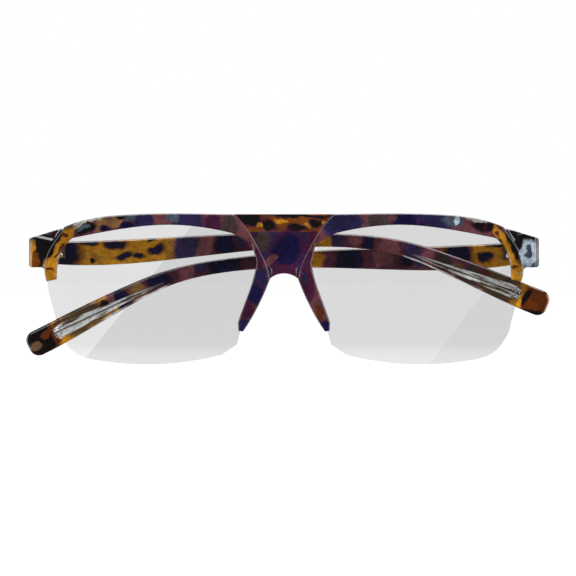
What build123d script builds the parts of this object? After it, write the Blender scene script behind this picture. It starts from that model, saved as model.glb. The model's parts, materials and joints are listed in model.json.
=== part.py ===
from build123d import *
import math
import os

os.makedirs("parts", exist_ok=True)

# Reading glasses with hinged temples, folded shut and upright, in millimetres.
# Frame: +X to the wearer's left, +Y from the front towards the face, +Z up.
# They are drawn with heights from the lowest edge of the lenses and depths from the brow
# face at the middle, then moved to put the origin on the crest of the bridge's arch.

# ---------------------------------------------------------------- driving dimensions
WRAP_RADIUS = 500.0         # plan radius that the whole front is curved to
RIM_DEPTH = 4.2             # front to back of the brow bars and hooks
HOOK_PROUD = 0.8            # how far the outer hooks stand in front of the end pieces
END_WALL = 3.0              # thickness of the front wall of an end piece
EDGE_ROUND = 0.5            # rounding along the front outline
CORNER_ROUND = 1.6          # rounding of the outer corner of an end piece
BRIDGE_RECESS = 0.45        # how far the bridge lies behind the brow faces
FRONT_HALF_WIDTH = 70.0     # middle of the front to the outer face of an end piece

LENS_INSET = 0.9            # brow face to the foremost point of a lens
LENS_THICKNESS = 2.3        # at the middle
LENS_FRONT_RADIUS = 300.0
LENS_BACK_RADIUS = 420.0
LENS_MIDDLE = (35.0, 19.0)  # across and up
GROOVE_LAP = 1.2            # how far a lens reaches up into the brow's groove

HINGE_X = 65.0              # middle of the front to a hinge axis
HINGE_Y = 13.0              # brow face to a hinge axis
HINGE_Z = 31.0              # height of the middle of a hinge
HINGE_TILT = 2.4            # degrees that each axis leans, so that folded temples cross tidily
KNUCKLE_RADIUS = 1.35
KNUCKLE_HEIGHT = 1.4
KNUCKLE_GAP = 0.06
SCREW_RADIUS = 0.6
SCREW_CLEARANCE = 0.04
SCREW_HEAD_RADIUS = 1.0
SCREW_HEAD_HEIGHT = 0.6
LEAF_THICKNESS = 0.8
LEAF_START = 1.55           # hinge axis to the near end of a leaf's plate
LEAF_END = 4.8              # hinge axis to the far end of a leaf's plate
FIXING_RADIUS = 0.5         # shank of the small screws that hold the leaves
FIXING_HEAD_RADIUS = 0.85
FIXING_HEAD_HEIGHT = 0.25
FIXING_DEPTH = 1.5          # how far those shanks go into the plastic
SLOT_WIDTH = 0.3            # driver slot in every screw head
FIXING_REACH = 3.2          # hinge axis to the small screws
FIXING_HEIGHTS = (-1.1, 1.1)
POCKET_DEPTH = 0.5          # depth of the recess in the end piece for its leaf
POCKET_ROOM = 0.4           # room in that recess above and below the hinge
OPEN_ROOM = 0.15            # room between the open temple's knuckle and the end piece

TEMPLE_THICKNESS = 3.2
TEMPLE_INSET = 1.45         # hinge axis to the inner face of an open temple
TEMPLE_BUTT_GAP = 0.25      # hinge axis to the square-cut end of a temple
TEMPLE_ROUND = 0.8          # rounding along the edges of a temple
TEMPLE_TIP_RADIUS = 2.6
SCOOP_DEPTH = 1.4           # tapered hollow in the inner face of each tip
SCOOP_WIDTH = 4.4
RIGHT_OVERFOLD = 2.0        # degrees past square: the right temple lies nearer the lenses
LEFT_UNDERFOLD = 1.5        # degrees short of square: the left temple lies behind it

SIDES = {"left": 1, "right": -1}    # the wearer's left is +X
STACK_HEIGHT = 3 * KNUCKLE_HEIGHT + 2 * KNUCKLE_GAP


# ---------------------------------------------------------------- outlines (across, up)
BROW_TOP = [(13.5, 41.1), (28, 41.3), (43, 41.0), (52, 40.1), (60.2, 37.6)]
BROW_UNDERSIDE = [(14.2, 35.9), (21, 37.3), (31, 38.2), (43, 37.3), (58, 34.6)]
NOSE_ARM_LENS_SIDE = [(7.5, 28.0), (8.3, 23.8), (10.9, 16.3), (12.6, 11.4)]
NOSE_ARM_NOSE_SIDE = [(11.2, 9.0), (8.2, 13.8), (5.5, 19.3), (3.8, 23.5)]
NOSE_ARM_TIP = (12.5, 9.2)
NOSE_ARM_CORNER = (8.8, 33.0)
BRIDGE_SEAM = [(3.8, 23.5), (4.5, 26.6), (6.5, 31.0), (9.4, 36.2), (13.5, 41.1)]
BRIDGE_ARCH_TOP = (0, 24.9)
ARCH_MIDDLE_DEPTH = 4.4     # brow face to the middle of the arch, where the nose carries it
HOOK_INNER = [(62.3, 23.3), (62.2, 27.0), (61.7, 29.8), (60.2, 32.4), (58, 34.6)]
HOOK_OUTER = [(60.2, 37.6), (63.0, 33.6), (65.3, 29.2), (65.7, 26.4), (65.1, 22.7)]
LENS_OUTER_EDGE = [(59.8, 35.4), (63.4, 30.5), (64.9, 26.0), (64.8, 21.5), (62.2, 11.2)]
LENS_BOTTOM = [(60.4, 6.6), (57, 2.9), (50, 0.9), (38, 0.0), (26, 0.8), (17, 2.6)]
LENS_INNER_EDGE = [(12.9, 5.4), (11.8, 9.4), (9.7, 16.3), (7.2, 23.8), (6.8, 29.5)]
END_PIECE = [(59.5, 37.3), (61.5, 37.1), (70, 34.5), (70, 26.6), (66.4, 26.6), (62.9, 23.6)]

# side profiles (depth, up)
NOSE_ARM_PROFILE = [(-1, 44), (4.0, 44), (4.0, 36.0), (8.0, 28), (9.0, 20), (8.2, 8), (-1, 8)]
BRIDGE_PROFILE = [(BRIDGE_RECESS, 20), (BRIDGE_RECESS, 36.2), (2.9, 41.2), (5.4, 41.2),
                  (6.6, 39.0), (8.0, 28.0), (8.8, 20)]

# centreline of a temple: distance from the hinge axis, height, half the depth, slope in degrees
TEMPLE_LINE = [
    (TEMPLE_BUTT_GAP, -0.4, 3.05, 0),
    (40, -0.4, 2.9, 0),
    (80, -0.4, 1.85, -3),
    (97, -3.2, 2.1, -17),
    (110, -8.3, 2.7, -23.5),
    (120, -13.0, 3.2, -25),
    (136.8, -20.8, 3.5, -25),
]
SCOOP_START = (98, -4.2)
SCOOP_END = (129.5, -17.3)


# ---------------------------------------------------------------- shared shapes
def facing(depth):
    """Sketch plane parallel to the front, at this depth; its x is across and its y is up."""
    return Plane.XZ.offset(-depth)


def flipped(points, side):
    """Outline points of the wearer's left side, turned over for the right side."""
    return [(side * across, up) for across, up in points]


def wrap_depth(across):
    """How far back the front's wrap has carried its face at this distance from the middle."""
    return across**2 / (2 * WRAP_RADIUS)


def wrapped_slab(near, far):
    """Tall block between two depths behind the brow face, curved with the front."""
    with BuildPart() as slab:
        with BuildSketch(Plane.XY.offset(-5)):
            with Locations((0, WRAP_RADIUS)):
                Circle(WRAP_RADIUS - near)
                Circle(WRAP_RADIUS - far, mode=Mode.SUBTRACT)
        extrude(amount=60)
    return slab.part


def side_profile(points):
    """Bar across the whole front whose section is this side profile of (depth, up)."""
    with BuildPart() as bar:
        with BuildSketch(Plane.YZ.offset(-FRONT_HALF_WIDTH)):
            with BuildLine():
                Polyline(*points, close=True)
            make_face()
        extrude(amount=2 * FRONT_HALF_WIDTH)
    return bar.part


def hinge_plane(side, height):
    """Plane square to a hinge axis; its x is outward and its y is rearward on both sides."""
    tilt = math.radians(HINGE_TILT)
    axis = Vector(-math.sin(tilt), 0, math.cos(tilt))
    outward = Vector(side * math.cos(tilt), 0, side * math.sin(tilt))
    origin = Vector(side * HINGE_X, HINGE_Y, HINGE_Z) + axis * height
    # turned over on the right side, so that its normal is the axis times the side
    return Plane(origin=origin, x_dir=outward, z_dir=axis * side)


def folded_angle(side):
    """Degrees that a temple is turned from pointing straight back to its folded place."""
    return 90 - LEFT_UNDERFOLD if side > 0 else 90 + RIGHT_OVERFOLD


def temple_plane(side):
    """Sketch plane of a folded temple: x runs from the hinge to the tip, y is up."""
    flat = hinge_plane(side, 0)
    turn = math.radians(folded_angle(side))
    along = flat.y_dir * math.cos(turn) - flat.x_dir * math.sin(turn)
    up = flat.z_dir * side
    return Plane(origin=flat.origin, x_dir=along, z_dir=along.cross(up))


# ---------------------------------------------------------------- lenses
def make_lens(name, side):
    """Magnifying lens, thicker in the middle, cut to its outline."""
    across, up = LENS_MIDDLE
    depth = wrap_depth(across) + LENS_INSET
    turn = math.degrees(math.asin(across / WRAP_RADIUS)) * side
    middle = Location((side * across, depth, up), (0, 0, turn))
    with BuildPart() as lens:
        with BuildSketch(facing(-2)):
            with BuildLine():
                seat = [(u, z + GROOVE_LAP) for u, z in BROW_UNDERSIDE]
                top = Spline(*flipped(seat, side))
                outer = Spline(*flipped(LENS_OUTER_EDGE, side))
                bottom = Spline(*flipped(LENS_BOTTOM, side))
                inner = Spline(*flipped(LENS_INNER_EDGE, side))
                Line(top @ 1, outer @ 0)
                RadiusArc(outer @ 1, bottom @ 0, side * 9)
                Line(bottom @ 1, inner @ 0)
                Line(inner @ 1, top @ 0)
            make_face()
        extrude(amount=-20)
        with Locations(middle * Location((0, LENS_FRONT_RADIUS, 0))):
            Sphere(LENS_FRONT_RADIUS, mode=Mode.INTERSECT)
        with Locations(middle * Location((0, LENS_THICKNESS + LENS_BACK_RADIUS, 0))):
            Sphere(LENS_BACK_RADIUS, mode=Mode.SUBTRACT)
    lens.part.label = name
    return lens.part


# ---------------------------------------------------------------- front
def brow_and_hook(side):
    """Brow bar, outer hook and the front of the nose arm, as one wrapped plate."""
    with BuildPart() as plate:
        with BuildSketch(facing(-1)):
            with BuildLine():
                Spline(*flipped(BROW_TOP, side))
                hook_outer = Spline(*flipped(HOOK_OUTER, side))
                hook_inner = Spline(*flipped(HOOK_INNER, side))
                underside = Spline(*flipped(BROW_UNDERSIDE, side))
                lens_side = Spline(*flipped(NOSE_ARM_LENS_SIDE, side))
                nose_side = Spline(*flipped(NOSE_ARM_NOSE_SIDE, side))
                Spline(*flipped(BRIDGE_SEAM, side))
                Line(hook_outer @ 1, hook_inner @ 0)
                corner = flipped([NOSE_ARM_CORNER], side)[0]
                Polyline(underside @ 0, corner, lens_side @ 0)
                tip = flipped([NOSE_ARM_TIP], side)[0]
                Polyline(lens_side @ 1, tip, nose_side @ 0)
            make_face()
        extrude(amount=-14)
        add(wrapped_slab(0, RIM_DEPTH), mode=Mode.INTERSECT)
        front_face = plate.faces().sort_by(Axis.Y)[0]
        fillet(front_face.edges(), EDGE_ROUND)
    return plate.part


def nose_arm(side):
    """Rear of a nose arm, which spreads the weight on the nose as a pad."""
    with BuildPart() as arm:
        with BuildSketch(facing(-1)):
            with BuildLine():
                lens_side = Spline(*flipped(NOSE_ARM_LENS_SIDE, side))
                nose_side = Spline(*flipped(NOSE_ARM_NOSE_SIDE, side))
                seam = Spline(*flipped(BRIDGE_SEAM, side))
                underside = Spline(*flipped(BROW_UNDERSIDE, side))
                corner = flipped([NOSE_ARM_CORNER], side)[0]
                Polyline(seam @ 1, underside @ 0, corner, lens_side @ 0)
                tip = flipped([NOSE_ARM_TIP], side)[0]
                Polyline(lens_side @ 1, tip, nose_side @ 0)
            make_face()
        extrude(amount=-14)
        add(wrapped_slab(RIM_DEPTH / 2, 14), mode=Mode.INTERSECT)
        add(side_profile(NOSE_ARM_PROFILE), mode=Mode.INTERSECT)
    return arm.part


def end_piece(side):
    """Corner block that turns from the front back to the hinge."""
    inner_face = HINGE_X + TEMPLE_INSET - POCKET_DEPTH
    root = END_PIECE[0][0]
    wall_back = wrap_depth(HINGE_X) + HOOK_PROUD + END_WALL
    front_corner = (FRONT_HALF_WIDTH, wrap_depth(FRONT_HALF_WIDTH) + HOOK_PROUD)
    plan = [(root, wrap_depth(root) + HOOK_PROUD), front_corner,
            (FRONT_HALF_WIDTH, HINGE_Y), (inner_face, HINGE_Y),
            (inner_face, wall_back), (root, wall_back)]
    with BuildPart() as block:
        with BuildSketch(Plane.XY.offset(20)) as footprint:
            with BuildLine():
                Polyline(*flipped(plan, side), close=True)
            make_face()
            corner = flipped([front_corner], side)[0]
            fillet(footprint.vertices().sort_by_distance((*corner, 20))[:1], CORNER_ROUND)
        extrude(amount=25)
        with BuildSketch(facing(-1)) as outline:
            with BuildLine():
                Polyline(*flipped(END_PIECE, side), close=True)
            make_face()
            corners = outline.vertices().sort_by(Axis.X)
            fillet(corners[-2:] if side > 0 else corners[:2], CORNER_ROUND / 2)
        extrude(amount=-HINGE_Y - 2, mode=Mode.INTERSECT)
        front_face = block.faces().sort_by(Axis.Y)[0]
        fillet(front_face.edges().sort_by(Axis.Z)[-1:], EDGE_ROUND)
    return block.part


def hinge_pocket(side):
    """Shallow recess in the end piece, leaning with the hinge, that the leaf lies in."""
    bottom = -STACK_HEIGHT / 2 - POCKET_ROOM
    with BuildPart() as pocket:
        with BuildSketch(hinge_plane(side, bottom)):
            with Locations((TEMPLE_INSET, 1)):
                Rectangle(6, LEAF_END + 1, align=(Align.MAX, Align.MAX))
            with Locations((TEMPLE_INSET + OPEN_ROOM, 1)):
                Rectangle(1, 1.4, align=(Align.MAX, Align.MAX))
        extrude(amount=side * (STACK_HEIGHT + SCREW_HEAD_HEIGHT + 2 * POCKET_ROOM))
    return pocket.part


def make_rim(name, side, lens, fixings):
    """Brow, hook, nose arm and end piece of one side, grooved for its lens."""
    with BuildPart() as rim:
        add(brow_and_hook(side))
        add(nose_arm(side))
        add(end_piece(side))
        add(hinge_pocket(side), mode=Mode.SUBTRACT)
        add(lens, mode=Mode.SUBTRACT)
        add(fixings, mode=Mode.SUBTRACT)
    rim.part.label = name
    return rim.part


def make_bridge():
    """Keystone between the two brows, with a facet that slopes back along its top."""
    with BuildPart() as bridge:
        with BuildSketch(facing(-1)):
            with BuildLine():
                left_seam = Spline(*BRIDGE_SEAM)
                right_seam = Spline(*flipped(BRIDGE_SEAM, -1))
                Line(left_seam @ 1, right_seam @ 1)
                ThreePointArc(left_seam @ 0, BRIDGE_ARCH_TOP, right_seam @ 0)
            make_face()
        extrude(amount=-14)
        add(side_profile(BRIDGE_PROFILE), mode=Mode.INTERSECT)
    bridge.part.label = "bridge"
    return bridge.part


# ---------------------------------------------------------------- hinges
def knuckle_heights(places):
    """Heights, along the axis, of the undersides of these knuckles, counted from the bottom."""
    pitch = KNUCKLE_HEIGHT + KNUCKLE_GAP
    return [-STACK_HEIGHT / 2 + place * pitch for place in places]


def make_leaf(name, side, places, rearward, fixings):
    """Hinge leaf: a plate that points rearward (1) or forward (-1) from its knuckles."""
    middle = TEMPLE_INSET - LEAF_THICKNESS / 2
    with BuildPart() as leaf:
        with BuildSketch(hinge_plane(side, -STACK_HEIGHT / 2)):
            with Locations((middle, rearward * (LEAF_START + LEAF_END) / 2)):
                Rectangle(LEAF_THICKNESS, LEAF_END - LEAF_START)
        extrude(amount=side * STACK_HEIGHT)
        for height in knuckle_heights(places):
            with BuildSketch(hinge_plane(side, height)):
                Circle(KNUCKLE_RADIUS)
                with Locations((middle, rearward * LEAF_START / 2)):
                    Rectangle(LEAF_THICKNESS, LEAF_START)
            extrude(amount=side * KNUCKLE_HEIGHT)
        with BuildSketch(hinge_plane(side, -STACK_HEIGHT / 2 - 1)):
            Circle(SCREW_RADIUS + SCREW_CLEARANCE)
        extrude(amount=side * (STACK_HEIGHT + 2), mode=Mode.SUBTRACT)
        add(fixings, mode=Mode.SUBTRACT)
    leaf.part.label = name
    return leaf.part


def make_hinge_screw(name, side):
    """Slotted screw that runs down the hinge axis, with its head on the top knuckle."""
    with BuildPart() as screw:
        with BuildSketch(hinge_plane(side, -STACK_HEIGHT / 2)):
            Circle(SCREW_RADIUS)
        extrude(amount=side * STACK_HEIGHT)
        with BuildSketch(hinge_plane(side, STACK_HEIGHT / 2)):
            Circle(SCREW_HEAD_RADIUS)
        extrude(amount=side * SCREW_HEAD_HEIGHT)
        with BuildSketch(hinge_plane(side, STACK_HEIGHT / 2 + SCREW_HEAD_HEIGHT)):
            Rectangle(3 * SCREW_HEAD_RADIUS, SLOT_WIDTH)
        extrude(amount=-side * SCREW_HEAD_HEIGHT / 2, mode=Mode.SUBTRACT)
    screw.part.label = name
    return screw.part


def make_fixings(name, side, rearward):
    """Small slotted screws that hold the rearward (1) or forward (-1) leaf to the plastic."""
    with BuildPart() as fixings:
        for height in FIXING_HEIGHTS:
            level = hinge_plane(side, height)
            spot = Vector(TEMPLE_INSET - LEAF_THICKNESS, rearward * FIXING_REACH, 0)
            seat = level.from_local_coords(spot)
            outward = Plane(origin=seat, x_dir=level.y_dir, z_dir=level.x_dir)
            with BuildSketch(outward):
                Circle(FIXING_RADIUS)
            extrude(amount=LEAF_THICKNESS + FIXING_DEPTH)
            with BuildSketch(outward):
                Circle(FIXING_HEAD_RADIUS)
            extrude(amount=-FIXING_HEAD_HEIGHT)
            with BuildSketch(outward.offset(-FIXING_HEAD_HEIGHT)):
                Rectangle(3 * FIXING_HEAD_RADIUS, SLOT_WIDTH)
            extrude(amount=FIXING_HEAD_HEIGHT / 2, mode=Mode.SUBTRACT)
    fixings.part.label = name
    return fixings.part


def folded(part, side):
    """A piece made in its open place, turned about the hinge axis to its folded place."""
    flat = hinge_plane(side, 0)
    axis = Axis(flat.origin, flat.z_dir)
    turned = part.rotate(axis, folded_angle(side))
    turned.label = part.label
    return turned


# ---------------------------------------------------------------- temples
def temple_edge(sign):
    """Points along the upper (1) or lower (-1) edge of a temple."""
    points = []
    for along, up, half, slope in TEMPLE_LINE:
        turn = math.radians(slope)
        points.append((along - sign * half * math.sin(turn), up + sign * half * math.cos(turn)))
    return points


def scoop(side):
    """V-shaped hollow in the inner face, which widens and deepens towards the tip."""
    plane = temple_plane(side)
    inner = TEMPLE_INSET * side
    start = plane.from_local_coords(Vector(*SCOOP_START, inner))
    end = plane.from_local_coords(Vector(*SCOOP_END, inner))
    along = (end - start).normalized()
    with BuildPart() as hollow:
        for place, grow in ((start, 0.08), (end, 1)):
            section = Plane(origin=place, x_dir=plane.z_dir * side, z_dir=along)
            half = SCOOP_WIDTH / 2 * grow
            with BuildSketch(section):
                with BuildLine():
                    Polyline((-0.3, -half), (0, -half), (SCOOP_DEPTH * grow, 0), (0, half),
                             (-0.3, half), close=True)
                make_face()
        loft()
    return hollow.part


def make_temple(name, side, fixings):
    """Temple with a slender middle, a bend down behind the ear and a scooped tip."""
    plane = temple_plane(side)
    with BuildPart() as temple:
        with BuildSketch(plane.offset(side * TEMPLE_INSET)) as profile:
            with BuildLine():
                upper = Spline(*temple_edge(1))
                lower = Spline(*temple_edge(-1))
                Line(upper @ 0, lower @ 0)
                Line(upper @ 1, lower @ 1)
            make_face()
            tip_corners = profile.vertices().sort_by(Axis.X)[-2:]
            fillet(tip_corners, TEMPLE_TIP_RADIUS)
        extrude(amount=side * TEMPLE_THICKNESS)
        faces = temple.faces().sort_by(Axis(plane.origin, plane.z_dir))
        butt = temple.faces().sort_by(Axis(plane.origin, plane.x_dir))[0]
        butt_edges = [edge.center() for edge in butt.edges()]
        edges = [edge for face in (faces[0], faces[-1]) for edge in face.edges()
                 if all((edge.center() - centre).length > 0.1 for centre in butt_edges)]
        fillet(edges, TEMPLE_ROUND)
        add(scoop(side), mode=Mode.SUBTRACT)
        add(fixings, mode=Mode.SUBTRACT)
    temple.part.label = name
    return temple.part


# ---------------------------------------------------------------- the assembly
pieces = [make_bridge()]
for name, side in SIDES.items():
    lens = make_lens(f"{name}_lens", side)
    front_screws = make_fixings(f"{name}_front_leaf_screws", side, -1)
    front_leaf = make_leaf(f"{name}_front_hinge_leaf", side, (0, 2), -1, front_screws)
    # the temple's leaf and its screws are made with the temple open, then folded
    open_screws = make_fixings(f"{name}_temple_leaf_screws", side, 1)
    open_leaf = make_leaf(f"{name}_temple_hinge_leaf", side, (1,), 1, open_screws)
    temple_screws = folded(open_screws, side)
    pieces += [
        lens,
        make_rim(f"{name}_rim", side, lens, front_screws),
        front_leaf,
        front_screws,
        folded(open_leaf, side),
        temple_screws,
        make_hinge_screw(f"{name}_hinge_screw", side),
        make_temple(f"{name}_temple", side, temple_screws),
    ]

origin = Vector(BRIDGE_ARCH_TOP[0], ARCH_MIDDLE_DEPTH, BRIDGE_ARCH_TOP[1])
for piece in pieces:
    label = piece.label
    piece = piece.moved(Location(-origin))
    piece.label = label
    export_step(piece, f"parts/{label}.step")
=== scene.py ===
"""Reading glasses in tortoiseshell plastic, folded shut, built round a measured frame.

All places are in metres in the frame's own axes: +X to the wearer's left, +Y from the front
towards the face, +Z up, with the origin on the crest of the bridge's arch.
"""
import json
import math

import bpy
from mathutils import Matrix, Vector


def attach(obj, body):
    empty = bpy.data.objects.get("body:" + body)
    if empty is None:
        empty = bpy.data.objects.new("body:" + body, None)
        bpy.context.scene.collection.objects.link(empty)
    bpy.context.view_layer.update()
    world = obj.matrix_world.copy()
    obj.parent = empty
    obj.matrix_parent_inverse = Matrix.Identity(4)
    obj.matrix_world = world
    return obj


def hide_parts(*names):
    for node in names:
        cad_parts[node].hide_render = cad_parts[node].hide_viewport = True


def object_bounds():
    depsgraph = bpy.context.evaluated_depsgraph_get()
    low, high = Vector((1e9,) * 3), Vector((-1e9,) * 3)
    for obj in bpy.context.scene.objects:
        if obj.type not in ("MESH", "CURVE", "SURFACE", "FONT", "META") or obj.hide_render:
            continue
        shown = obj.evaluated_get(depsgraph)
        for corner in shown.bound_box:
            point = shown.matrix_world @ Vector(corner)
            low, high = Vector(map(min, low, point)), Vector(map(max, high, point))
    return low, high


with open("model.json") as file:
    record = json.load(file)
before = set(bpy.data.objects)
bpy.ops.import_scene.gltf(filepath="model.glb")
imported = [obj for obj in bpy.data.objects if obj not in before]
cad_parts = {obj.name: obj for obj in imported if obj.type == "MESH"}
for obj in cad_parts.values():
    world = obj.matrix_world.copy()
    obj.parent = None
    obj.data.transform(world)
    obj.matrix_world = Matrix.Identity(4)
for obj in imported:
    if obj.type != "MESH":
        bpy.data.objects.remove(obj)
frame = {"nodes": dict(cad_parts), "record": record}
CAD_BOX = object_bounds()

bl_info = {
    "name": "Tortoiseshell Reading Glasses",
    "version": (1, 0, 0),
    "blender": (4, 5, 0),
    "location": "View3D > Sidebar > Glasses",
    "description": "Finishes the front, lenses, temples and hinges of a pair of reading glasses",
    "category": "Object",
}

SIDES = ("left", "right")
MM = 0.001

# a lens in metres: the radii of the front's wrap and of its two faces, and the middle of its front face
WRAP_RADIUS = 0.5
LENS_FRONT_RADIUS = 0.3
LENS_BACK_RADIUS = 0.42
LENS_THICKNESS = 0.0023
LENS_MIDDLE_ACROSS = 0.035
LENS_MIDDLE_UP = -0.0059
LENS_VERTEX_DEPTH = -0.002275

# where the scoop of each temple starts and ends on the folded glasses: (across, up) in millimetres
SCOOPS = {"left": ((-32.7, -2.2), (-63.6, -16.6)), "right": ((33.1, 6.0), (65.1, -5.8))}
SCOOP_END_ROOM = 0.0006
SCOOP_HALF_HIGH = 0.0026
# where the painted sparkle starts and where it covers the scoop's flanks wholly, along the scoop from its
# middle
SCOOP_SPARKLE_FROM = 0.0135
SCOOP_SPARKLE_WHOLLY = 0.0155

# a blotch and its fringe fade out between these shares of the blotch's half size
BLOTCH_EDGE = (0.75, 1.15)
FRINGE_EDGE = (0.95, 1.5)
FRINGE_STRENGTH = 0.75

PLASTIC_IOR = 1.52
LENS_IOR = 1.49

# the floor of the studio
FLOOR_WIDTH = 80
FLOOR_DROP = 0.00002
FLOOR_GLOW = 0.91

# the room as a polished surface sees it: how steeply up the ceiling starts and how far
# sideways the walls start, as parts of a unit direction, and how bright each is
CEILING_STARTS = (0.88, 0.94)
CEILING_LIGHT = 6.0
WALLS_START = (0.72, 0.86)
WALLS_LIGHT = 2.5
REST_OF_ROOM_LIGHT = 0.05


# ---------------------------------------------------------------- settings
def colour_setting(name, description, default):
    """Colour that a user can change."""
    return bpy.props.FloatVectorProperty(
        name=name, description=description, subtype="COLOR", size=3, min=0, max=1, default=default)


class GlassesFinish(bpy.types.PropertyGroup):
    """Colours and finishes of the glasses."""

    amber: colour_setting("Amber", "Warm honey-coloured ground of the tortoiseshell",
                          (0.34, 0.145, 0.008))
    honey: colour_setting("Honey", "Clearer, brighter amber of the thin temples", (0.60, 0.26, 0.012))
    ochre: colour_setting("Ochre", "Duller, paler amber", (0.20, 0.10, 0.034))
    navy: colour_setting("Navy", "Darkest blue blotches", (0.0055, 0.004, 0.032))
    indigo: colour_setting("Indigo", "Lighter, greyer blue blotches", (0.016, 0.012, 0.048))
    slate: colour_setting("Slate", "Steel blue where the dark plastic is thin", (0.045, 0.056, 0.075))
    plum: colour_setting("Plum", "Wine-coloured blotches", (0.042, 0.007, 0.026))
    wine: colour_setting("Wine", "Clearer plum of the thin temples", (0.098, 0.024, 0.050))
    violet: colour_setting("Violet", "Clearer indigo of the thin temples", (0.044, 0.027, 0.095))
    mauve: colour_setting("Mauve", "Greyed rose between the blotches", (0.100, 0.034, 0.040))
    rose: colour_setting("Rose", "Brighter mauve of the thin temples", (0.215, 0.068, 0.080))
    smoke: colour_setting("Smoke", "Grey-brown where the blotches run together", (0.040, 0.025, 0.024))
    umber: colour_setting("Umber", "Nearly black brown", (0.004, 0.003, 0.003))
    rust: colour_setting("Rust", "Red-brown fringes of the amber", (0.085, 0.018, 0.003))
    olive: colour_setting("Olive", "Greenish brown streaks", (0.10, 0.058, 0.026))
    # painted highlights: pale laid in thin blotches along the brow bevels and the end piece's lower edge
    pale: colour_setting("Pale", "Cloudy, pale plastic on the brow bevels", (0.24, 0.24, 0.20))
    copper: colour_setting("Copper", "Deep red-amber of the thick bridge", (0.125, 0.034, 0.003))
    # painted reflection: pale blue laid on the left end piece's face and as a dot on the left brow
    painted_blue_sheen: colour_setting("Mist", "Cloudy pale blue in the plastic", (0.34, 0.41, 0.48))
    # painted reflection: silvery glints and sparkle laid over the scoops' flanks
    scoop_glint: colour_setting("Frost", "Silvery glints in the scoops", (0.88, 0.89, 0.87))
    lens_tint: colour_setting("Lens Tint", "What a whole lens lets through", (0.684, 0.684, 0.686))
    # painted glare: the paler part of a lens stands in for reflected studio light
    lens_glare: colour_setting("Lens Band", "The same in the paler part of a lens",
                              (0.797, 0.797, 0.797))
    gloss: bpy.props.FloatProperty(
        name="Roughness", description="Roughness of the polished plastic",
        subtype="FACTOR", min=0, max=1, default=0.07)


class GlassesStage(bpy.types.PropertyGroup):
    """Camera and studio of the picture."""

    view_width: bpy.props.FloatProperty(
        name="View Width", description="Width that the camera takes in at the front",
        unit="LENGTH", min=0.05, max=1, default=0.1574)
    view_across: bpy.props.FloatProperty(
        name="View Across", description="Sideways place of the camera",
        unit="LENGTH", default=0.0011)
    view_up: bpy.props.FloatProperty(
        name="View Height", description="Height of the camera over the bridge's arch",
        unit="LENGTH", default=-0.0040)
    camera_distance: bpy.props.FloatProperty(
        name="Camera Distance", description="How far in front of the glasses the camera stands",
        unit="LENGTH", min=0.2, max=5, default=1.4)
    world_strength: bpy.props.FloatProperty(
        name="Room Light", description="Strength of the even light all round",
        min=0, max=5, default=1.0)


# ---------------------------------------------------------------- node helpers
def maths(tree, operation, a, b=None):
    """Output of a Math node; a and b are sockets or numbers."""
    node = tree.nodes.new("ShaderNodeMath")
    node.operation = operation
    for index, value in enumerate((a, b)):
        if value is None:
            continue
        if isinstance(value, (int, float)):
            node.inputs[index].default_value = value
        else:
            tree.links.new(value, node.inputs[index])
    return node.outputs[0]


def vector_maths(tree, operation, a, b):
    """Output of a Vector Math node; a and b are sockets or triples."""
    node = tree.nodes.new("ShaderNodeVectorMath")
    node.operation = operation
    for index, value in enumerate((a, b)):
        if isinstance(value, tuple):
            node.inputs[index].default_value = value
        else:
            tree.links.new(value, node.inputs[index])
    return node.outputs["Value" if operation in ("LENGTH", "DOT_PRODUCT") else "Vector"]


def mix_colour(tree, factor, a, b):
    """Output of a colour Mix node; the factor is a socket, a and b are sockets or rgb triples."""
    node = tree.nodes.new("ShaderNodeMix")
    node.data_type = "RGBA"
    tree.links.new(factor, node.inputs[0])
    for socket, value in ((node.inputs[6], a), (node.inputs[7], b)):
        if isinstance(value, bpy.types.NodeSocket):
            tree.links.new(value, socket)
        else:
            socket.default_value = (*value, 1)
    return node.outputs[2]


def noise(tree, coords, scale, detail, roughness=0.5):
    """Noise texture at this scale, in features per metre; gives (factor, colour) sockets."""
    node = tree.nodes.new("ShaderNodeTexNoise")
    node.inputs["Scale"].default_value = scale
    node.inputs["Detail"].default_value = detail
    node.inputs["Roughness"].default_value = roughness
    tree.links.new(coords, node.inputs["Vector"])
    return node.outputs["Fac"], node.outputs["Color"]


def map_range(tree, value, low, high, to_low=0.0, to_high=1.0):
    """Output of a Map Range node with soft ends."""
    node = tree.nodes.new("ShaderNodeMapRange")
    node.interpolation_type = "SMOOTHSTEP"
    for name, number in (("From Min", low), ("From Max", high),
                         ("To Min", to_low), ("To Max", to_high)):
        node.inputs[name].default_value = number
    tree.links.new(value, node.inputs["Value"])
    return node.outputs["Result"]


def coordinate(tree, vector, axis):
    """One coordinate of a vector; the axis is X, Y or Z."""
    node = tree.nodes.new("ShaderNodeSeparateXYZ")
    tree.links.new(vector, node.inputs[0])
    return node.outputs[axis]


def turned_about_y(tree, vector, angle):
    """The vector turned about the Y axis by an angle in radians."""
    node = tree.nodes.new("ShaderNodeVectorRotate")
    node.rotation_type = "Y_AXIS"
    node.inputs["Angle"].default_value = angle
    tree.links.new(vector, node.inputs["Vector"])
    return node.outputs["Vector"]


def object_place(tree):
    """Place on the piece, in its own coordinates."""
    return tree.nodes.new("ShaderNodeTexCoord").outputs["Object"]


def add_bump(tree, shader, height, strength, distance):
    """Give the shader's surface a fine relief."""
    bump = tree.nodes.new("ShaderNodeBump")
    bump.inputs["Strength"].default_value = strength
    bump.inputs["Distance"].default_value = distance
    tree.links.new(height, bump.inputs["Height"])
    tree.links.new(bump.outputs["Normal"], shader.inputs["Normal"])


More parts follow.
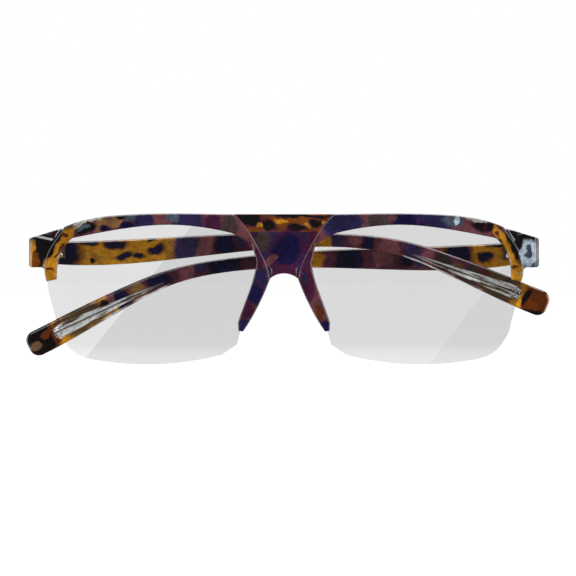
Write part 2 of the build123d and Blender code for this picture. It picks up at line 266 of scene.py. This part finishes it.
def let_through(tree, shader, factor, tint=(1, 1, 1)):
    """Let light straight through, with this tint, where the factor is 1."""
    passing = tree.nodes.new("ShaderNodeBsdfTransparent")
    passing.inputs["Color"].default_value = (*tint, 1)
    blend = tree.nodes.new("ShaderNodeMixShader")
    tree.links.new(factor, blend.inputs["Fac"])
    tree.links.new(shader.outputs["BSDF"], blend.inputs[1])
    tree.links.new(passing.outputs["BSDF"], blend.inputs[2])
    tree.links.new(blend.outputs["Shader"], tree.nodes["Material Output"].inputs["Surface"])


def new_material(name):
    """Material with a Principled shader; gives (material, tree, shader)."""
    material = bpy.data.materials.new(name)
    material.use_nodes = True
    tree = material.node_tree
    return material, tree, tree.nodes["Principled BSDF"]


# ---------------------------------------------------------------- materials
def scoop_masks(tree, place, side, flat):
    """Masks of the scoop in this side's temple and of its bottom crease, where shade is painted, and places
    along it.

    The flat is a place on the temple's inner face and the way into the plastic.
    """
    start, end = (Vector((across, 0, up)) * MM for across, up in SCOOPS[side])
    point, inward = flat
    middle = (start + end) / 2
    lean = math.atan2(end.z - start.z, end.x - start.x)
    apart = vector_maths(tree, "SUBTRACT", place, (middle.x, 0, middle.z))
    along = turned_about_y(tree, apart, lean)
    half_long = (end - start).length / 2 + SCOOP_END_ROOM
    squeezed = vector_maths(tree, "MULTIPLY", along, (1 / half_long, 0, 1 / SCOOP_HALF_HIGH))
    away = vector_maths(tree, "LENGTH", squeezed, (0, 0, 0))
    depth = vector_maths(tree, "DOT_PRODUCT", vector_maths(tree, "SUBTRACT", place, point), inward)
    inside = map_range(tree, away, 1.0, 1.12, 1, 0)
    not_back = map_range(tree, depth, 0.0018, 0.0019, 1, 0)
    hollow = maths(tree, "MULTIPLY", map_range(tree, depth, 0.00004, 0.0002), inside)
    off_line = maths(tree, "ABSOLUTE", coordinate(tree, along, "Z"))
    crease_shade = map_range(tree, off_line, 0.0001, 0.0004, 1, 0)
    return maths(tree, "MULTIPLY", hollow, not_back), crease_shade, along


def wandering(tree, place):
    """The place moved about by a millimetre or two, as dye wanders in poured sheet."""
    moved = place
    for scale, amount in ((140, 0.003), (420, 0.0018), (1300, 0.0005)):
        swirl = vector_maths(tree, "SUBTRACT", noise(tree, place, scale, 0.6)[1], (0.5,) * 3)
        wander = vector_maths(tree, "MULTIPLY", swirl, (amount, 0.0, amount))
        moved = vector_maths(tree, "ADD", moved, wander)
    return moved


def lay_blotches(tree, moved, colour, blotches, fringe_colour):
    """The colour with the blotches laid over it in their order."""
    finish = bpy.context.scene.glasses_finish
    for across, up, half_wide, half_high, shade, *lean in blotches:
        apart = vector_maths(tree, "SUBTRACT", moved, (across * MM, 0, up * MM))
        if lean:
            apart = turned_about_y(tree, apart, math.radians(lean[0]))
        size = (1 / (half_wide * MM), 0, 1 / (half_high * MM))
        away = vector_maths(tree, "LENGTH", vector_maths(tree, "MULTIPLY", apart, size),
                            (0, 0, 0))
        if shade in ("navy", "umber"):
            fringe = map_range(tree, away, *FRINGE_EDGE, FRINGE_STRENGTH, 0)
            colour = mix_colour(tree, fringe, colour, fringe_colour)
        colour = mix_colour(tree, map_range(tree, away, *BLOTCH_EDGE, 1, 0), colour,
                            getattr(finish, shade))
    return colour


def streak_scoop(tree, place, colour, scoop):
    """The colour with a temple's scoop over it: painted streaky reflections on its flanks, painted sparkle
    toward one end, and painted shade along its bottom crease.
    """
    finish = bpy.context.scene.glasses_finish
    hollow, crease_shade, along = scoop_masks(tree, place, *scoop)
    lengthways = vector_maths(tree, "MULTIPLY", along, (0.09, 1, 1))
    # painted reflections, streaked along the scoop
    glint_streak = noise(tree, lengthways, 1500, 3, 0.6)[0]
    flank = mix_colour(tree, map_range(tree, glint_streak, 0.40, 0.52), finish.olive, finish.scoop_glint)
    sparkle = map_range(tree, noise(tree, place, 2400, 2, 0.7)[0], 0.44, 0.54)
    sparkle_colour = mix_colour(tree, sparkle, finish.smoke, finish.scoop_glint)
    at_end = map_range(tree, coordinate(tree, along, "X"),
                       SCOOP_SPARKLE_FROM, SCOOP_SPARKLE_WHOLLY)
    flank = mix_colour(tree, at_end, flank, sparkle_colour)
    # painted shade along the scoop's bottom crease
    flank = mix_colour(tree, maths(tree, "MULTIPLY", crease_shade, 0.85), flank, finish.smoke)
    return mix_colour(tree, hollow, colour, flank)


def tortoiseshell(name, blotches, ground, scoop=None, below=None):
    """Polished tortoiseshell plastic with listed soft blotches.

    A blotch is (across, up, half width, half height, colour name, lean), in millimetres and
    degrees on the folded glasses seen from the front; it runs right through the plastic, and
    the darkest ones have a fringe. The lean may be left out. The second colour of the plastic,
    if there is one, starts below a height in millimetres: (height, colour name).
    """
    finish = bpy.context.scene.glasses_finish
    material, tree, shader = new_material(name)
    place = object_place(tree)
    moved = wandering(tree, place)

    streaks = noise(tree, vector_maths(tree, "MULTIPLY", moved, (0.45, 1, 1)), 380, 3, 0.6)[0]
    first, second = (getattr(finish, colour) for colour in ground)
    colour = mix_colour(tree, map_range(tree, streaks, 0.55, 0.75), first, second)

    if below:
        height, lower_colour = below
        under = map_range(tree, coordinate(tree, place, "Z"), (height - 0.1) * MM,
                          (height + 0.1) * MM, 1, 0)
        colour = mix_colour(tree, under, colour, getattr(finish, lower_colour))

    fringe_colour = finish.rust if "honey" in ground else finish.plum
    colour = lay_blotches(tree, moved, colour, blotches, fringe_colour)
    # painted reflections, sparkle and crease shade in a temple's scoop
    if scoop:
        colour = streak_scoop(tree, place, colour, scoop)

    # cloudy depth, with finer flecks where the dyes meet
    cloud = map_range(tree, noise(tree, place, 160, 3)[0], 0.3, 0.7, 0.72, 1.3)
    flecks = map_range(tree, noise(tree, moved, 1100, 3, 0.6)[0], 0.35, 0.65, 0.8, 1.22)
    shaded = vector_maths(tree, "SCALE", colour, (0, 0, 0))
    tree.links.new(maths(tree, "MULTIPLY", cloud, flecks), shaded.node.inputs["Scale"])
    tree.links.new(shaded, shader.inputs["Base Color"])

    scratch = noise(tree, vector_maths(tree, "MULTIPLY", place, (1, 1, 3)), 2600, 3)[0]
    rough = map_range(tree, scratch, 0.3, 0.7, finish.gloss * 0.7, finish.gloss * 1.6)
    tree.links.new(rough, shader.inputs["Roughness"])
    shader.inputs["IOR"].default_value = PLASTIC_IOR
    shader.inputs["Coat Weight"].default_value = 0.25
    shader.inputs["Coat Roughness"].default_value = 0.03

    add_bump(tree, shader, noise(tree, place, 230, 2)[0], 0.06, 0.0003)
    return material


def lens_plastic(name, edge, strength):
    """Lens tinted a little grey, with a painted glare: paler to the minus X side of a slanting soft edge.

    The edge is a high and a low place on it, each (across, up) in millimetres; the strength is
    how much of the painted glare lies beyond it.
    """
    finish = bpy.context.scene.glasses_finish
    material, tree, shader = new_material(name)
    place = object_place(tree)
    smear = noise(tree, place, 60, 3, 0.6)[0]
    tint = tuple(finish.lens_tint)
    (high_across, high_up), (low_across, low_up) = edge
    toward = Vector((high_across - low_across, 0, high_up - low_up)).normalized()
    beyond = vector_maths(tree, "DOT_PRODUCT",
                          vector_maths(tree, "SUBTRACT", place, (high_across * MM, 0, high_up * MM)),
                          (-toward.z, 0, toward.x))
    # painted glare, paler beyond the slanting edge
    glare_mask = map_range(tree, beyond, -0.0002, 0.0002, 0, strength)
    paler = mix_colour(tree, map_range(tree, smear, 0.35, 0.65), finish.lens_glare,
                       tuple(channel * 1.02 for channel in finish.lens_glare))
    tree.links.new(mix_colour(tree, glare_mask, tint, paler), shader.inputs["Base Color"])
    tree.links.new(map_range(tree, smear, 0.4, 0.7, 0.0, 0.012), shader.inputs["Roughness"])
    shader.inputs["IOR"].default_value = LENS_IOR
    shader.inputs["Transmission Weight"].default_value = 1.0

    # light passes straight on to what lies behind, as through any clear lens
    shadow_ray = tree.nodes.new("ShaderNodeLightPath").outputs["Is Shadow Ray"]
    let_through(tree, shader, shadow_ray, tint)
    return material


def plated_steel(name, colour, roughness):
    """Nickel-plated steel with fine turning and rubbing marks."""
    material, tree, shader = new_material(name)
    place = object_place(tree)
    grain = noise(tree, vector_maths(tree, "MULTIPLY", place, (1, 1, 6)), 2200, 4, 0.6)[0]
    dull = tuple(channel * 0.8 for channel in colour)
    tree.links.new(mix_colour(tree, map_range(tree, grain, 0.3, 0.7), colour, dull),
                   shader.inputs["Base Color"])
    tree.links.new(map_range(tree, grain, 0.3, 0.7, roughness * 0.7, roughness * 1.4),
                   shader.inputs["Roughness"])
    shader.inputs["Metallic"].default_value = 1.0
    add_bump(tree, shader, grain, 0.15, 0.00005)
    return material


# ---------------------------------------------------------------- modelling helpers
def select_only(piece):
    """Make this the one selected, active object, in object mode."""
    if bpy.context.object and bpy.context.object.mode != "OBJECT":
        bpy.ops.object.mode_set(mode="OBJECT")
    bpy.ops.object.select_all(action="DESELECT")
    piece.select_set(True)
    bpy.context.view_layer.objects.active = piece


def polished_copy(node, name, material, sharp_degrees=35):
    """Copy of a CAD node with its triangles welded and its curved faces shaded smooth."""
    piece = bpy.data.objects.new(name, frame["nodes"][node].data.copy())
    bpy.context.scene.collection.objects.link(piece)
    piece.data.materials.clear()
    piece.data.materials.append(material)
    select_only(piece)
    bpy.ops.object.mode_set(mode="EDIT")
    bpy.ops.mesh.select_all(action="SELECT")
    bpy.ops.mesh.remove_doubles(threshold=0.000002)
    bpy.ops.object.mode_set(mode="OBJECT")
    bpy.ops.object.shade_smooth_by_angle(angle=math.radians(sharp_degrees))
    even = piece.modifiers.new("even_shading", "WEIGHTED_NORMAL")
    even.keep_sharp = True
    even.weight = 90
    bpy.ops.object.modifier_apply(modifier=even.name)
    return piece


def lens_sphere(side):
    """Way that a lens looks rearward, and the centre of its front sphere."""
    across = 1 if side == "left" else -1
    turn = math.asin(LENS_MIDDLE_ACROSS / WRAP_RADIUS) * across
    rearward = Vector((-math.sin(turn), math.cos(turn), 0))
    vertex = Vector((across * LENS_MIDDLE_ACROSS, LENS_VERTEX_DEPTH, LENS_MIDDLE_UP))
    return rearward, vertex, vertex + rearward * LENS_FRONT_RADIUS


def polish_lens_faces(piece, side):
    """Give a lens's two faces the true normals of their spheres, as polishing would."""
    rearward, vertex, front_centre = lens_sphere(side)
    back_centre = vertex + rearward * (LENS_THICKNESS + LENS_BACK_RADIUS)
    mesh = piece.data
    normals = [tuple(corner.vector) for corner in mesh.corner_normals]
    for face in mesh.polygons:
        facing = face.normal.dot(rearward)
        if abs(facing) < 0.9:
            continue
        for loop in face.loop_indices:
            point = mesh.vertices[mesh.loops[loop].vertex_index].co
            if facing < 0:
                normals[loop] = tuple((point - front_centre).normalized())
            else:
                normals[loop] = tuple((back_centre - point).normalized())
    mesh.normals_split_custom_set(normals)


def body_of_node(node):
    """Name of the body that a CAD node rides on."""
    bodies = frame["record"]["behaviour"]["bodies"]
    return next(body for body, nodes in bodies.items() if node in nodes)


def stand_for(piece, node):
    """Put the piece in the node's place: on the same body, with the node hidden."""
    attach(piece, body_of_node(node))
    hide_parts(node)


# ---------------------------------------------------------------- blotch charts
# the wearer's right lies at minus X
RIGHT_FRONT_BLOTCHES = [
    (-15, 12, 2.6, 5, "smoke"), (-19.6, 13.5, 2.0, 4.5, "plum"), (-26, 14.5, 4.6, 5, "indigo"),
    (-30, 15.5, 2.0, 1.2, "slate"), (-38.2, 14.5, 2.4, 4.5, "indigo"), (-42, 15.4, 1.9, 1.3, "slate"),
    (-42.4, 13.2, 2.2, 1.4, "navy"), (-46, 14.2, 2.0, 2.2, "ochre"), (-45.4, 15.6, 1.6, 0.6, "umber"),
    (-50.2, 13.4, 2.6, 2.4, "ochre"), (-49.4, 12.4, 1.5, 0.9, "navy"), (-54.8, 12.6, 2.8, 1.6, "umber", 22),
    # the two pale blotches in this row are painted highlights on the brow's top bevel
    (-56.5, 13.6, 3.4, 0.7, "pale", 26), (-52, 14.9, 2.6, 0.6, "pale", 12),
    (-55.4, 12.6, 2.0, 0.5, "slate", 22), (-66, 7, 5.2, 7.5, "umber"), (-61, 12.5, 3, 2.2, "umber"),
    (-60.6, 8.0, 1.5, 5.6, "amber", -27), (-63.2, 0.0, 2.6, 4.4, "amber"),
    (-68.4, 2.4, 2.0, 3.0, "copper"), (-69.6, 4, 1.0, 5.5, "amber"), (-67, 0.0, 3.0, 0.8, "amber"),
    (-61.4, 6.2, 0.5, 2.4, "rust", -27),
    (-60.0, 10.6, 0.7, 0.8, "rust"), (-63.6, 1.4, 1.2, 0.5, "rust"),
    (-7.6, 4, 2.0, 3, "plum"), (-6.6, -1.5, 2.4, 3.4, "indigo"), (-8.2, -5.5, 2.8, 3.2, "navy"),
    (-10.3, -10.2, 2.2, 2.6, "plum"), (-12.3, -14.6, 2.2, 2.4, "indigo"),
]
LEFT_FRONT_BLOTCHES = [
    (16, 13.5, 6, 5, "indigo"), (26.5, 14.5, 4.0, 4.5, "smoke"), (33, 14.5, 3.2, 5, "navy"),
    (41, 14.8, 5.5, 4, "indigo"), (46, 14.0, 3.2, 1.4, "slate"), (22, 12.6, 1.6, 1.2, "mauve"),
    (37.5, 12.5, 1.8, 1.0, "navy"), (30, 16, 1.6, 1.2, "mauve"), (50.5, 13.0, 2.2, 1.6, "mauve"),
    # the pale blotch in this row is a painted highlight on the brow's top bevel
    (54.5, 12.8, 3.0, 1.3, "umber", -16), (52.5, 14.9, 5.5, 0.55, "pale", -9),
    # the pale-blue dot first in this row is a painted highlight on the brow
    (46.8, 14.2, 0.8, 1.2, "painted_blue_sheen"), (57.4, 12.6, 2.2, 1.6, "umber"), (66, 6.5, 6.5, 8, "umber"),
    (60.6, 8.0, 1.5, 5.8, "amber", 27), (63.2, 0.0, 2.6, 4.2, "amber"), (60.9, 6.4, 0.5, 3.0, "umber", 27),
    # the pale-blue blotch last in this row is a painted reflection on the end piece's face
    (59.2, 10.4, 0.6, 1.0, "rust"), (63.6, 2.4, 1.2, 0.6, "rust"), (67.0, 5.2, 2.2, 3.4, "painted_blue_sheen"),
    # the pale blotch in this row is a painted highlight on the end piece's lower edge
    (66.8, 5.6, 0.8, 1.6, "slate"), (68.6, 2.6, 0.7, 0.9, "slate"), (67, 0.2, 3.0, 0.5, "pale"),
    (69.8, 8, 0.4, 5.5, "ochre"), (6.5, 3, 3, 4, "plum"), (6.4, -3.6, 2.6, 4, "plum"),
    (5.6, -1.4, 0.9, 1.6, "indigo"), (9.8, -10.6, 1.0, 2.2, "rust", 24), (11.9, -15, 2.4, 2.4, "navy"),
]
BRIDGE_BLOTCHES = [
    (0, 15.9, 14, 0.6, "umber"), (-9.4, 14.4, 3.2, 1.6, "umber"), (-4, 13.2, 2.0, 1.3, "umber"),
    (-6.6, 12.9, 1.3, 0.8, "amber"), (-0.6, 14.2, 1.7, 0.7, "amber"), (6.2, 13.0, 1.4, 0.6, "amber"),
    (3.2, 12.3, 2.6, 1.0, "umber"), (8.8, 13.6, 2.0, 1.2, "umber"), (11.2, 13.6, 0.9, 0.8, "amber"),
    (-6.4, 8.4, 2.2, 3.8, "smoke", -30), (0.5, 6.4, 4.4, 4.9, "navy"), (7.8, 8.6, 2.4, 3.2, "plum"),
    (0.6, 0.2, 4.0, 2.4, "plum"), (-3.6, 3.0, 1.2, 2.4, "mauve", -30), (-9, 10.4, 2.0, 0.9, "plum"),
]
RIGHT_TEMPLE_BLOTCHES = [
    (22, 6, 53, 16, "wine"), (-61, 6, 4.4, 5, "navy"), (-54, 8.3, 2.1, 1.0, "navy"),
    (-46.6, 8.3, 3.4, 1.3, "navy"), (-43.9, 4.9, 2.6, 0.9, "navy", 14), (-39.8, 4.6, 1.6, 1.1, "navy"),
    (-35.2, 6.0, 2.2, 1.2, "navy"), (-36.6, 9.3, 1.2, 0.5, "umber"), (-52.3, 3.4, 0.9, 0.5, "umber"),
    (-27, 7.5, 3.8, 5, "violet"), (-21, 8.0, 1.9, 4, "rose"), (-16.5, 8, 2.4, 4, "navy"),
    (-12, 8.8, 1.8, 3.0, "violet"), (-6.5, 8.4, 2.6, 3.4, "rose"), (1, 8.6, 3.4, 4.4, "navy"),
    (7, 10.2, 2.0, 1.6, "rose"), (11, 8, 2.4, 3.8, "honey"), (15, 8.6, 2.0, 3.2, "violet"),
    (19.5, 9.6, 2.2, 1.8, "rose"), (23.5, 8, 2.2, 3.2, "navy"), (29, 7.2, 2.6, 3.2, "rose"),
    (35, 5.4, 2.4, 2.8, "violet"), (39.4, 4.4, 1.8, 2.8, "rose"), (43.4, 2.8, 2.2, 3.0, "smoke"),
    (47.4, 1.4, 1.8, 2.4, "ochre"), (51.5, -0.4, 2.0, 3.0, "smoke"), (55, -1.0, 1.4, 3.4, "rust"),
    (60.2, -3.4, 6.4, 5, "olive"), (69.4, -7.4, 4.0, 5.4, "rust"), (68.6, -11.4, 4.4, 1.7, "umber", -24),
    (66.6, -6.6, 0.8, 2.4, "umber", -24),
]
LEFT_TEMPLE_BLOTCHES = [
    (-2, 0, 50, 16, "wine"), (59, 7.6, 2.4, 1.0, "umber"), (55.4, 4.4, 2.0, 1.2, "navy"),
    (48, 5, 3.6, 4, "navy"), (41, 4.8, 2.4, 3.2, "rose"), (37, 4.6, 2.0, 3.2, "violet"),
    (33, 4.4, 2.0, 3.2, "navy"), (27, 4.2, 3.0, 3.2, "rose"), (18, 3.8, 3.6, 4, "navy"),
    (8.2, 3.4, 3.2, 3.4, "honey"), (4.6, 3.2, 1.4, 3.0, "rose"), (0, 3, 2.4, 4, "navy"),
    (-4.6, 3, 1.8, 2.6, "rose"), (-9, 2.6, 2.0, 1.4, "wine"), (-16.5, 2, 4.2, 4, "navy"),
    (-23, 1.4, 2.2, 1.6, "violet"), (-27.4, 0, 2.4, 3.4, "rose"), (-34.2, -1.8, 3.0, 2.4, "navy"),
    (-39.8, -4.4, 2.2, 2.4, "ochre"), (-44.6, -6.6, 2.4, 2.8, "navy", 25), (-48, -8, 1.2, 3, "rose"),
    (-55.6, -12.2, 7.6, 4.4, "olive", 25), (-50, -8.2, 1.0, 0.8, "umber"),
    (-67.4, -18.4, 4.8, 4.8, "umber"), (-62.6, -15.8, 1.4, 3.4, "rust"),
    (-68.6, -19.8, 1.9, 1.3, "olive", 40), (-65.4, -16.4, 2.0, 0.9, "rust", 25),
]


# ---------------------------------------------------------------- operators
class GLASSES_OT_front(bpy.types.Operator):
    """Polish the two rims and the bridge in tortoiseshell"""

    bl_idname = "glasses.front"
    bl_label = "Front"

    def execute(self, context):
        """Replace the plain front mouldings with polished ones."""
        charts = {"left": LEFT_FRONT_BLOTCHES, "right": RIGHT_FRONT_BLOTCHES}
        for side in SIDES:
            material = tortoiseshell(f"{side}_front_tortoise", charts[side], ("mauve", "smoke"))
            rim = polished_copy(f"{side}_rim", f"{side}_polished_rim", material)
            stand_for(rim, f"{side}_rim")
        material = tortoiseshell("bridge_tortoise", BRIDGE_BLOTCHES, ("copper", "rust"),
                                 below=(11.3, "indigo"))
        bridge = polished_copy("bridge", "polished_bridge", material)
        stand_for(bridge, "bridge")
        return {"FINISHED"}


class GLASSES_OT_lenses(bpy.types.Operator):
    """Polish the two lenses"""

    bl_idname = "glasses.lenses"
    bl_label = "Lenses"

    def execute(self, context):
        """Replace the plain lenses with clear polished ones."""
        # where each lens's painted glare begins, and how strong it is
        glare_edges = {"left": ((53.1, -7.3), (41.7, -22.3)), "right": ((-25.7, 12.4), (-51.5, -19.6))}
        glare_strengths = {"left": 0.42, "right": 1}
        for side in SIDES:
            material = lens_plastic(f"{side}_clear_lens", glare_edges[side], glare_strengths[side])
            lens = polished_copy(f"{side}_lens", f"{side}_clear_lens", material)
            polish_lens_faces(lens, side)
            stand_for(lens, f"{side}_lens")
        return {"FINISHED"}


class GLASSES_OT_temples(bpy.types.Operator):
    """Polish the two temples in tortoiseshell"""

    bl_idname = "glasses.temples"
    bl_label = "Temples"

    def execute(self, context):
        """Replace the plain temples with polished ones."""
        charts = {"left": LEFT_TEMPLE_BLOTCHES, "right": RIGHT_TEMPLE_BLOTCHES}
        for side in SIDES:
            faces = frame["nodes"][f"{side}_temple"].data.polygons
            flat = max(faces, key=lambda face: face.area * (face.normal.y < -0.9))
            inner_face = (tuple(flat.center), tuple(-flat.normal))
            material = tortoiseshell(f"{side}_temple_tortoise", charts[side], ("honey", "ochre"),
                                     (side, inner_face))
            temple = polished_copy(f"{side}_temple", f"{side}_polished_temple", material, 22)
            stand_for(temple, f"{side}_temple")
        return {"FINISHED"}


class GLASSES_OT_hinges(bpy.types.Operator):
    """Plate the hinge leaves and screws"""

    bl_idname = "glasses.hinges"
    bl_label = "Hinges"

    def execute(self, context):
        """Replace the plain hinge parts with plated ones."""
        satin = plated_steel("satin_nickel", (0.62, 0.61, 0.58), 0.28)
        bright = plated_steel("bright_nickel", (0.74, 0.73, 0.70), 0.16)
        parts = {"front_hinge_leaf": satin, "temple_hinge_leaf": satin,
                 "front_leaf_screws": bright, "temple_leaf_screws": bright,
                 "hinge_screw": bright}
        for side in SIDES:
            for part, material in parts.items():
                node = f"{side}_{part}"
                piece = polished_copy(node, f"{side}_plated_{part}", material, 30)
                stand_for(piece, node)
        return {"FINISHED"}


class GLASSES_OT_stage(bpy.types.Operator):
    """Set up the floor, the lights and the camera"""

    bl_idname = "glasses.stage"
    bl_label = "Studio"

    def execute(self, context):
        """Make the studio round the glasses."""
        settings = context.scene.glasses_stage
        make_floor()
        make_world(settings.world_strength)
        make_lights()
        make_camera(settings)
        context.scene.view_settings.view_transform = "Standard"
        return {"FINISHED"}


def make_floor():
    """Wide pale floor under the lowest point of the glasses."""
    low = CAD_BOX[0][2]
    bpy.ops.mesh.primitive_plane_add(size=FLOOR_WIDTH, location=(0, 0, low - FLOOR_DROP))
    floor = bpy.context.object
    floor.name = "pale_floor"
    material, tree, shader = new_material("pale_floor")
    place = object_place(tree)
    mottle = map_range(tree, noise(tree, place, 8, 2)[0], 0.3, 0.7)
    tree.links.new(mix_colour(tree, mottle, (0.24, 0.24, 0.24), (0.26, 0.26, 0.26)),
                   shader.inputs["Base Color"])
    shader.inputs["Roughness"].default_value = 0.9
    shader.inputs["Specular IOR Level"].default_value = 0.0
    shader.inputs["Emission Color"].default_value = (1, 1, 1, 1)
    shader.inputs["Emission Strength"].default_value = FLOOR_GLOW

    # polished surfaces do not mirror it
    mirrored = maths(tree, "MINIMUM",
                     tree.nodes.new("ShaderNodeLightPath").outputs["Glossy Depth"], 1.0)
    let_through(tree, shader, mirrored)
    floor.data.materials.append(material)
    floor.visible_glossy = False


def make_world(strength):
    """Even white room; surfaces are lit and mirrored less by it, as if flagged with cloth."""
    world = bpy.data.worlds.new("white_room")
    bpy.context.scene.world = world
    world.use_nodes = True
    tree = world.node_tree
    background = tree.nodes["Background"]
    ray = tree.nodes.new("ShaderNodeLightPath").outputs
    scattered = maths(tree, "MINIMUM", ray["Diffuse Depth"], 1.0)
    lit = mix_colour(tree, scattered, (1, 1, 1), (0.42, 0.42, 0.43))
    direction = tree.nodes.new("ShaderNodeTexCoord").outputs["Generated"]
    sideways = maths(tree, "ABSOLUTE", coordinate(tree, direction, "X"))

    # a polished surface sees a dim room with a bright ceiling and two bright side walls
    upward = coordinate(tree, direction, "Z")
    ceiling = map_range(tree, upward, *CEILING_STARTS, REST_OF_ROOM_LIGHT, CEILING_LIGHT)
    walls = map_range(tree, sideways, *WALLS_START, 0, WALLS_LIGHT)
    mirrored = maths(tree, "MINIMUM", ray["Glossy Depth"],
                     maths(tree, "SUBTRACT", 1.0, scattered))
    flagged = mix_colour(tree, mirrored, lit, maths(tree, "ADD", ceiling, walls))
    tree.links.new(flagged, background.inputs["Color"])
    background.inputs["Strength"].default_value = strength


def add_box(name, place, target, width, height, radiance):
    """Soft box of this size and brightness, aimed from its place at the target."""
    light = bpy.data.lights.new(name, "AREA")
    light.shape = "RECTANGLE"
    light.size = width
    light.size_y = height
    light.energy = radiance * math.pi * width * height
    lamp = bpy.data.objects.new(name, light)
    bpy.context.scene.collection.objects.link(lamp)
    lamp.location = place
    aim = Vector(target) - Vector(place)
    lamp.rotation_euler = aim.to_track_quat("-Z", "Y").to_euler()
    lamp.visible_camera = False


def make_lights():
    """Soft boxes overhead, to both sides in front, and behind."""
    add_box("key_box", (-0.45, -0.75, 0.60), (0, 0, 0), 0.5, 0.25, 7)
    add_box("fill_box", (0.75, -0.65, 0.25), (0, 0, 0), 0.2, 0.6, 5)
    add_box("top_box", (0.0, -0.25, 0.9), (0, 0, 0), 1.1, 0.1, 9)
    add_box("rim_box", (0.1, 0.6, 0.7), (0, 0, 0), 0.8, 0.2, 6)


def camera_place(settings):
    """Where the camera stands."""
    front = CAD_BOX[0][1]
    return Vector((settings.view_across, front - settings.camera_distance, settings.view_up))


def make_camera(settings):
    """Camera straight in front, level with the glasses."""
    camera = bpy.data.cameras.new("front_camera")
    camera.sensor_width = 36
    camera.lens = camera.sensor_width * settings.camera_distance / settings.view_width
    camera.clip_start = 0.01
    camera.clip_end = 20
    holder = bpy.data.objects.new("front_camera", camera)
    bpy.context.scene.collection.objects.link(holder)
    holder.location = camera_place(settings)
    holder.rotation_euler = (math.radians(90), 0, 0)
    bpy.context.scene.camera = holder


class GLASSES_PT_panel(bpy.types.Panel):
    """Sidebar panel that lists the steps"""

    bl_idname = "GLASSES_PT_panel"
    bl_label = "Reading Glasses"
    bl_space_type = "VIEW_3D"
    bl_region_type = "UI"
    bl_category = "Glasses"

    def draw(self, context):
        """List the colours and one button for each step."""
        layout = self.layout
        for group in (context.scene.glasses_finish, context.scene.glasses_stage):
            for name in group.__annotations__:
                layout.prop(group, name)
        for operator in STEPS:
            layout.operator(operator.bl_idname)


STEPS = (GLASSES_OT_stage, GLASSES_OT_front, GLASSES_OT_lenses, GLASSES_OT_temples,
         GLASSES_OT_hinges)
CLASSES = (GlassesFinish, GlassesStage, *STEPS, GLASSES_PT_panel)


def register():
    """Register the classes and hang the settings on the scene."""
    for cls in CLASSES:
        bpy.utils.register_class(cls)
    bpy.types.Scene.glasses_finish = bpy.props.PointerProperty(type=GlassesFinish)
    bpy.types.Scene.glasses_stage = bpy.props.PointerProperty(type=GlassesStage)


def unregister():
    """Undo register."""
    del bpy.types.Scene.glasses_stage
    del bpy.types.Scene.glasses_finish
    for cls in reversed(CLASSES):
        bpy.utils.unregister_class(cls)


def main():
    """Run every step in order."""
    register()
    bpy.ops.glasses.stage()
    bpy.ops.glasses.front()
    bpy.ops.glasses.lenses()
    bpy.ops.glasses.temples()
    bpy.ops.glasses.hinges()


if __name__ == "__main__":
    main()
